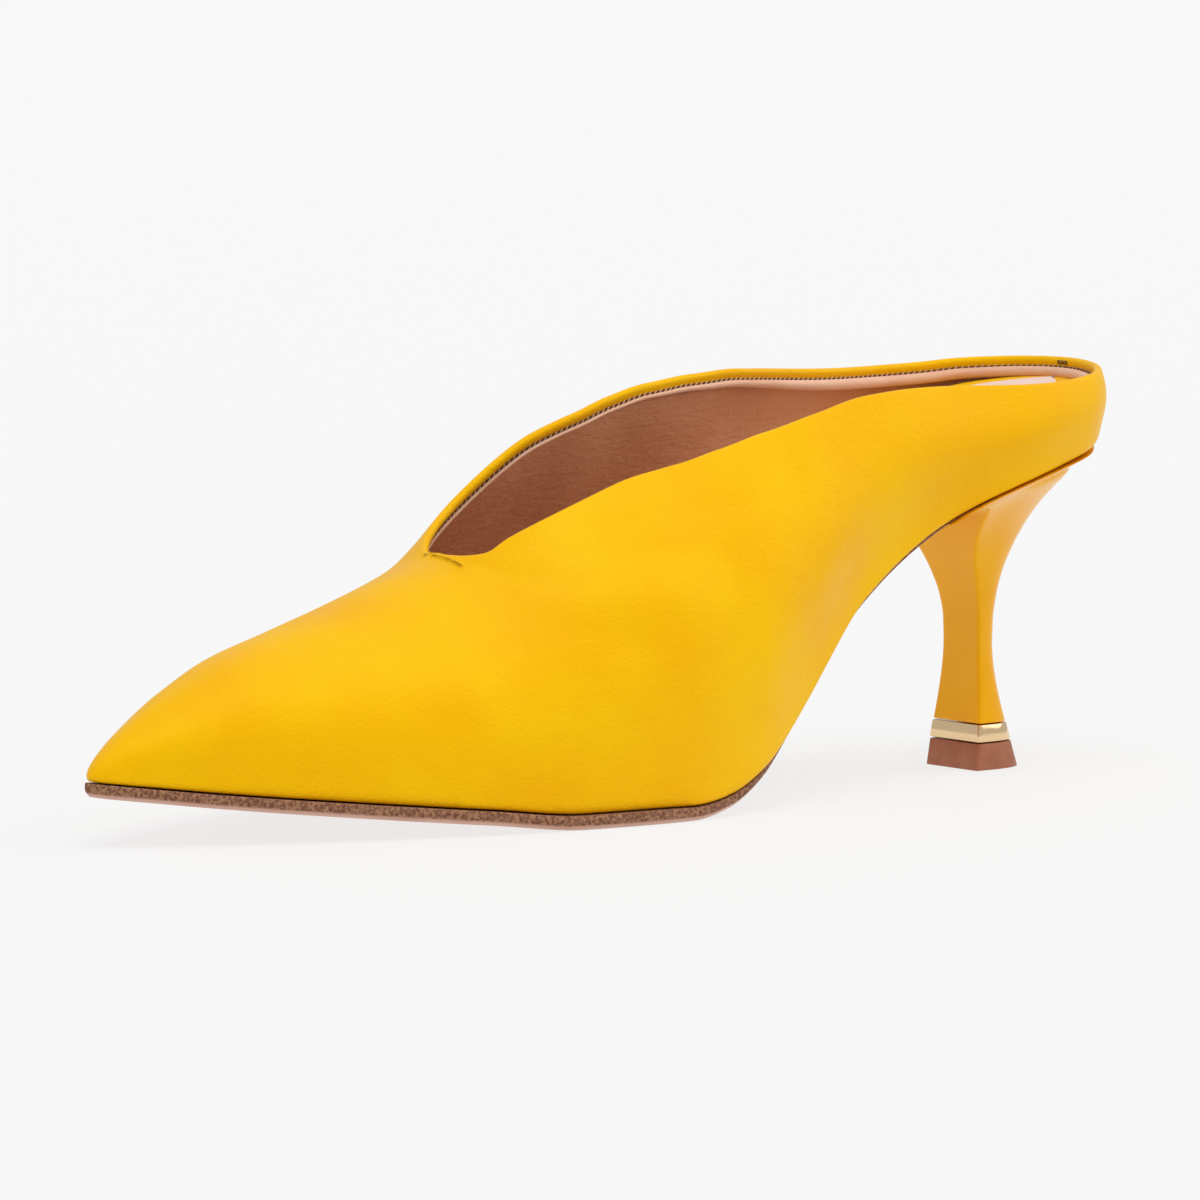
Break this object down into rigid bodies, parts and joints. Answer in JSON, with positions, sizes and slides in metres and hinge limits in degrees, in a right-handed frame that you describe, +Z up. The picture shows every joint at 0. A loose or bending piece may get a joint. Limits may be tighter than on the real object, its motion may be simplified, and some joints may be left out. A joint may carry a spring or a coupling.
{
  "type": "heeled mule",
  "caption": "Pointed slip-on shoe for the left foot, open at the back above a low rim, with a V-shaped throat and a waisted, covered heel.",
  "frame": {"origin": "on the floor, under the middle of the shoe's bounding box", "axes": "+X from the toe to the heel, +Y towards the inner side of the foot, +Z up"},
  "size_m": [0.2496, 0.076, 0.0836],
  "materials": {
    "yellow_leather": "smooth satin calf leather with a fine grain",
    "sole_leather": "smooth pinkish sole leather with a brown fibrous edge",
    "pale_sock": "soft pale lining leather",
    "glossy_yellow_cover": "glossy lacquered cover over a moulded block",
    "pale_gold": "polished pale gold plating",
    "brown_rubber": "matt brown moulded rubber"
  },
  "bodies": {
    "root": {"upper": "yellow_leather", "outsole": "sole_leather", "insole": "pale_sock", "heel": "glossy_yellow_cover", "heel_band": "pale_gold", "heel_tip": "brown_rubber"}
  },
  "joints": []
}
